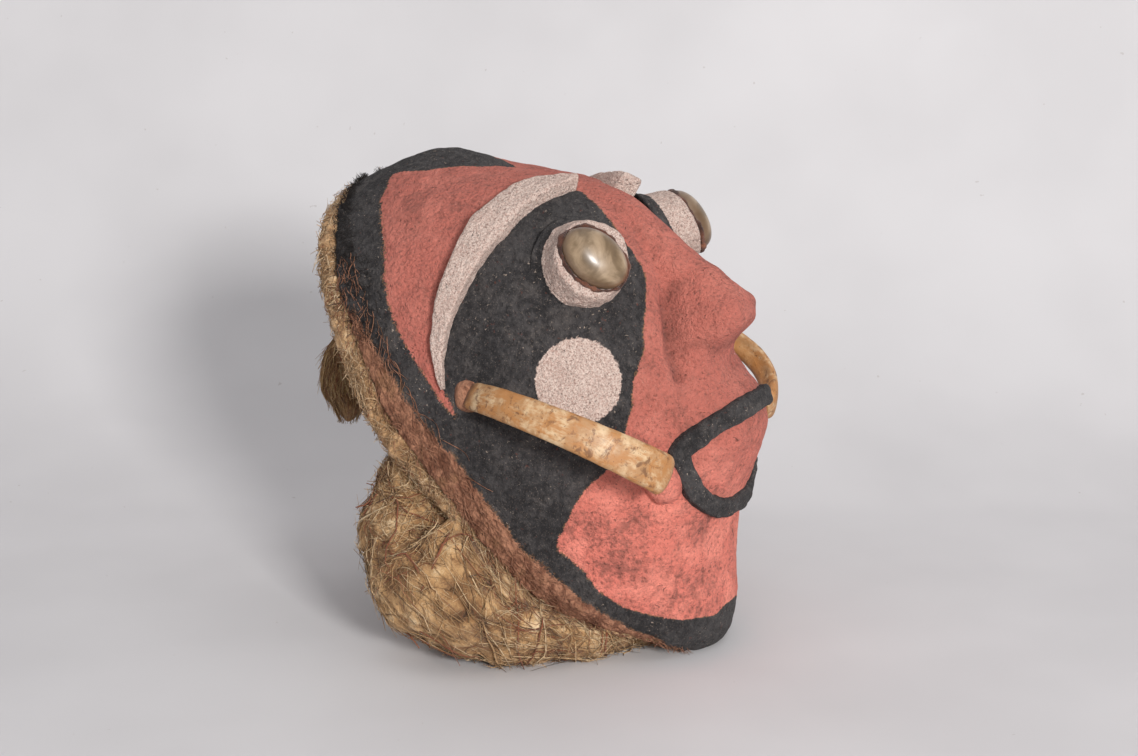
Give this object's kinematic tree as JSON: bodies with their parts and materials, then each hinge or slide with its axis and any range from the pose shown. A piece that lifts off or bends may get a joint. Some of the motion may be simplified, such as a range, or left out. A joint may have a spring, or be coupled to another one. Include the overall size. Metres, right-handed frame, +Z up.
{
  "type": "ceremonial face mask",
  "caption": "Face mask of painted fibre paste with peg eyes, raised brow crescents, curved tusks and a fibre roll that it leans back on.",
  "frame": {"origin": "centre of the bounding box in X and Y, on the surface that the mask sits on", "axes": "+Z up, -Y the way the face looks (it leans back 30 degrees), +X the mask's own left"},
  "size_m": [0.1918, 0.215, 0.2123],
  "materials": {
    "painted_paste": "matt earth pigment in red, black and white on gritty vegetable paste",
    "matted_fibre": "matted plant fibre, tan",
    "loose_fibre": "lumpy plant fibre with loose strands",
    "tassel_fibre": "twisted plant fibre with a bushy end",
    "tusk": "worn tusk, cream with brown stains",
    "eye_shell": "polished olive shell"
  },
  "bodies": {
    "root": {"face_shell": "painted_paste", "fibre_lining": "matted_fibre", "fibre_roll": "loose_fibre", "fibre_tassel": "tassel_fibre", "tusk_left": "tusk", "tusk_right": "tusk", "eye_shell_left": "eye_shell", "eye_shell_right": "eye_shell"}
  },
  "joints": []
}
